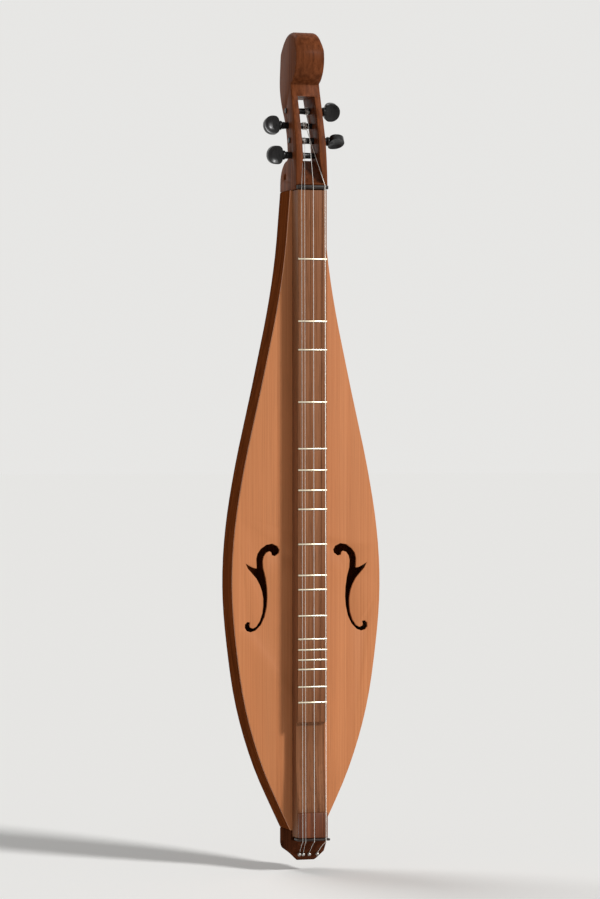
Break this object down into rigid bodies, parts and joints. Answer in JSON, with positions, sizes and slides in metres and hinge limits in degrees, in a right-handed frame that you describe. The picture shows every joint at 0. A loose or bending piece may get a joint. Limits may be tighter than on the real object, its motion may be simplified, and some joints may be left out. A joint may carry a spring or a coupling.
{
  "type": "mountain dulcimer",
  "caption": "Teardrop fretted zither with a raised fretboard, f-shaped sound holes, open pegbox, rolled scroll and turning pegs.",
  "frame": {"origin": "middle of the throat under the scroll, where the instrument hangs", "axes": "+Z along the instrument towards the scroll, -Y out of the fretboard's face, +X to the right seen from the front"},
  "size_m": [0.173, 0.076, 0.9257],
  "materials": {
    "top_wood": "satin",
    "walnut": "satin",
    "board_wood": "satin",
    "inner_wood": "raw",
    "dark_wood": "satin",
    "ebony": "polished",
    "fret_metal": "polished",
    "steel": "drawn"
  },
  "bodies": {
    "root": {"soundboard": "top_wood", "back_plate": "walnut", "side_left": "walnut", "side_right": "walnut", "top_lining_left": "inner_wood", "top_lining_right": "inner_wood", "back_lining_left": "inner_wood", "back_lining_right": "inner_wood", "back_brace_1": "inner_wood", "back_brace_2": "inner_wood", "back_brace_3": "inner_wood", "top_brace_1": "inner_wood", "top_brace_2": "inner_wood", "head_block": "inner_wood", "inner_tail_block": "inner_wood", "tail_block": "walnut", "fretboard": "board_wood", "bridge_block": "walnut", "saddle": "dark_wood", "nut": "dark_wood", "fret_01": "fret_metal", "fret_02": "fret_metal", "fret_03": "fret_metal", "fret_04": "fret_metal", "fret_05": "fret_metal", "fret_06": "fret_metal", "fret_07": "fret_metal", "fret_08": "fret_metal", "fret_09": "fret_metal", "fret_10": "fret_metal", "fret_11": "fret_metal", "fret_12": "fret_metal", "fret_13": "fret_metal", "fret_14": "fret_metal", "fret_15": "fret_metal", "fret_16": "fret_metal", "fret_17": "fret_metal", "fret_18": "fret_metal", "peghead": "walnut", "string_melody_1": "steel", "string_melody_2": "steel", "string_middle": "steel", "string_bass": "steel", "tail_pin_1": "steel", "tail_pin_2": "steel", "tail_pin_3": "steel", "tail_pin_4": "steel"},
    "top_right_peg": {"peg_top_right": "ebony", "winding_middle": "steel"},
    "upper_left_peg": {"peg_upper_left": "ebony", "winding_bass": "steel"},
    "lower_right_peg": {"peg_lower_right": "ebony", "winding_melody_2": "steel"},
    "lower_left_peg": {"peg_lower_left": "ebony", "winding_melody_1": "steel"}
  },
  "joints": [
    {"name": "top_right_peg_turn", "type": "hinge", "parent": "root", "child": "top_right_peg", "pos_m": [0, -0.005, -0.0244], "axis": [1, 0, 0], "continuous": true},
    {"name": "upper_left_peg_turn", "type": "hinge", "parent": "root", "child": "upper_left_peg", "pos_m": [0, -0.012, -0.0416], "axis": [1, 0, 0], "continuous": true},
    {"name": "lower_right_peg_turn", "type": "hinge", "parent": "root", "child": "lower_right_peg", "pos_m": [0, -0.019, -0.0588], "axis": [1, 0, 0], "continuous": true},
    {"name": "lower_left_peg_turn", "type": "hinge", "parent": "root", "child": "lower_left_peg", "pos_m": [0, -0.026, -0.076], "axis": [1, 0, 0], "continuous": true}
  ]
}
